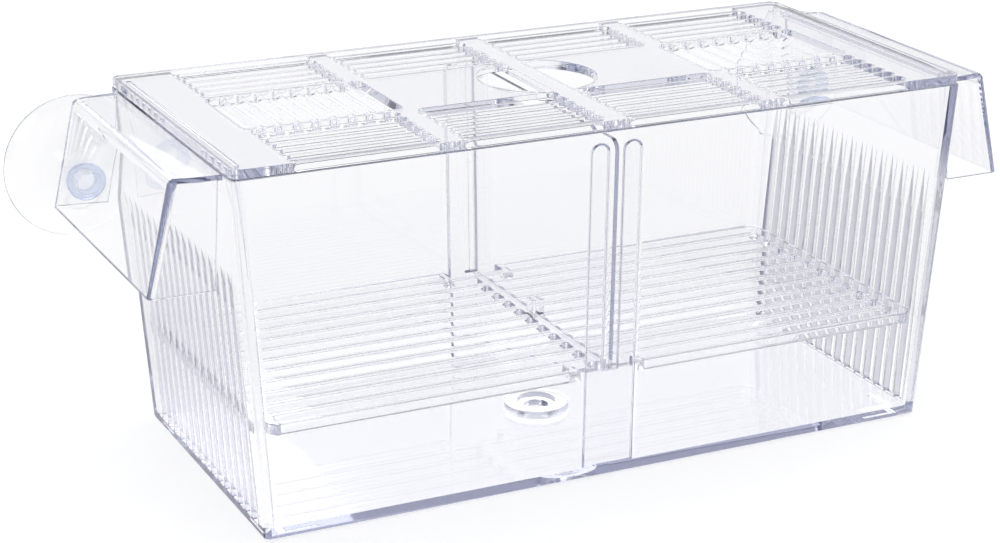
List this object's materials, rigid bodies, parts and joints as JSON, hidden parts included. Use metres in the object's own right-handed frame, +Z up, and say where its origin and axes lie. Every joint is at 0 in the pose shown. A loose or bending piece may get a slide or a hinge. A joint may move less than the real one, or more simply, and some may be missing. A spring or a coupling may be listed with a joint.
{
  "type": "fish breeding box",
  "caption": "Clear tapered tank with slotted end walls, side ears with suction cups, vented lift-off lid, centre divider and slotted platform.",
  "frame": {"origin": "on the ground, on the axis of the hole in the middle of the floor", "axes": "+Z up, +X along the tank towards the right end, +Y towards the back, where the suction cups face"},
  "size_m": [0.2694, 0.1015, 0.1],
  "materials": {
    "clear_plastic": "clear injection-moulded polystyrene, polished",
    "soft_vinyl": "clear soft vinyl, smooth"
  },
  "bodies": {
    "tank": {"tank_body": "clear_plastic"},
    "lid": {"lid": "clear_plastic"},
    "divider": {"divider_panel": "clear_plastic"},
    "platform": {"slotted_platform": "clear_plastic"},
    "cup_left": {"suction_cup_left": "soft_vinyl"},
    "cup_right": {"suction_cup_right": "soft_vinyl"}
  },
  "joints": [
    {"name": "lid_lift", "type": "slide", "parent": "tank", "child": "lid", "axis": [0, 0, 1], "range_m": [0, 0.24]},
    {"name": "divider_lift", "type": "slide", "parent": "tank", "child": "divider", "axis": [0, 0, 1], "range_m": [0, 0.144]},
    {"name": "platform_lift", "type": "slide", "parent": "tank", "child": "platform", "axis": [0, 0, 1], "range_m": [0, 0.108]},
    {"name": "cup_left_turn", "type": "hinge", "parent": "tank", "child": "cup_left", "pos_m": [-0.1147, 0.0404, 0.0748], "axis": [0, 1, 0], "continuous": true},
    {"name": "cup_right_turn", "type": "hinge", "parent": "tank", "child": "cup_right", "pos_m": [0.1147, 0.0404, 0.0748], "axis": [0, 1, 0], "continuous": true}
  ],
  "couplings": [
    {"joint": "divider_lift", "follows": "lid_lift", "ratio": 0.6},
    {"joint": "platform_lift", "follows": "lid_lift", "ratio": 0.45}
  ]
}
